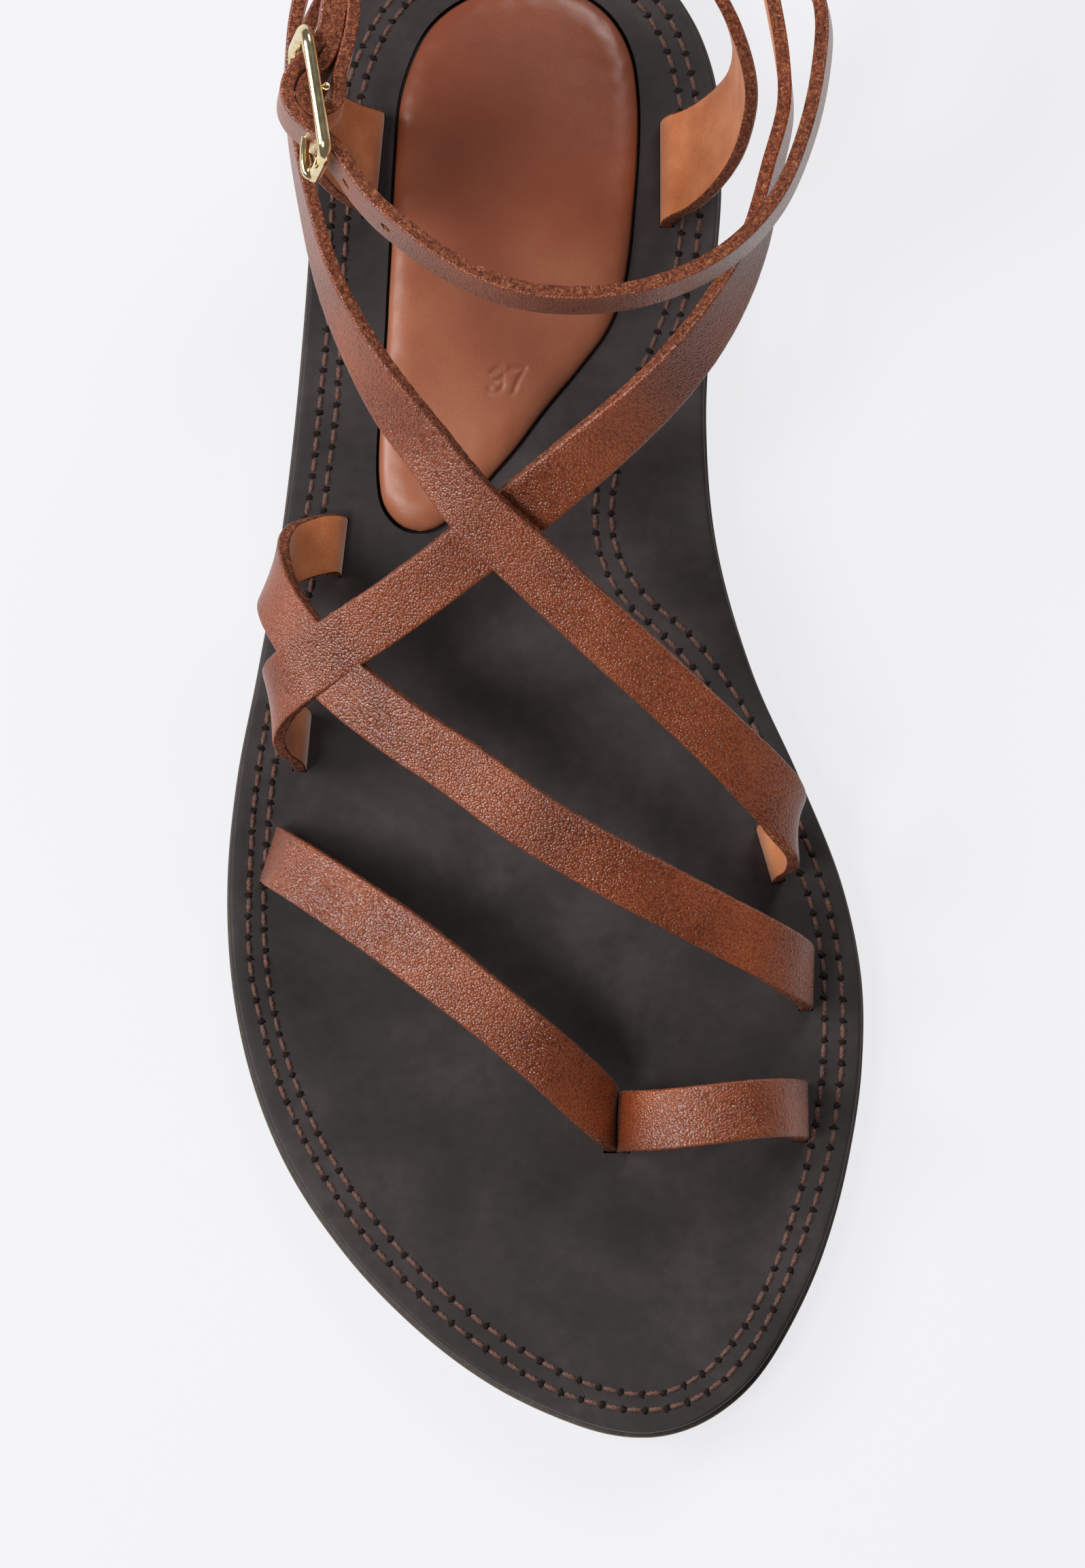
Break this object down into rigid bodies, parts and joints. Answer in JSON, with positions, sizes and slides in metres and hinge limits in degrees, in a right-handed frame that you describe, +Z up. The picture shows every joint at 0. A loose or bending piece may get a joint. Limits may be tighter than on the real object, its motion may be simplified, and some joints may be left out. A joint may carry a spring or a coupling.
{
  "type": "tie-up sandal",
  "caption": "Flat tie-up sandal for the right foot: narrow leather straps cross over the instep and wrap the ankle, with a big-toe loop, a heel strap, a buckle and a padded heel.",
  "frame": {"origin": "on the floor plane under the middle of the heel, in the heel lift's flat tread", "axes": "+Z up, -Y towards the toe, +X towards the big-toe side of this right shoe"},
  "size_m": [0.1029, 0.2478, 0.0924],
  "materials": {
    "strap_leather": "grained, satin",
    "pad_leather": "smooth, satin",
    "sole_leather": "smooth, waxed",
    "outsole_rubber": "matte",
    "pale_gold": "polished"
  },
  "bodies": {
    "root": {"outsole": "outsole_rubber", "heel_lift": "outsole_rubber", "insole": "sole_leather", "heel_pad": "pad_leather", "toe_strap": "strap_leather", "upper": "strap_leather", "buckle_frame": "pale_gold", "buckle_prong": "pale_gold"}
  },
  "joints": []
}
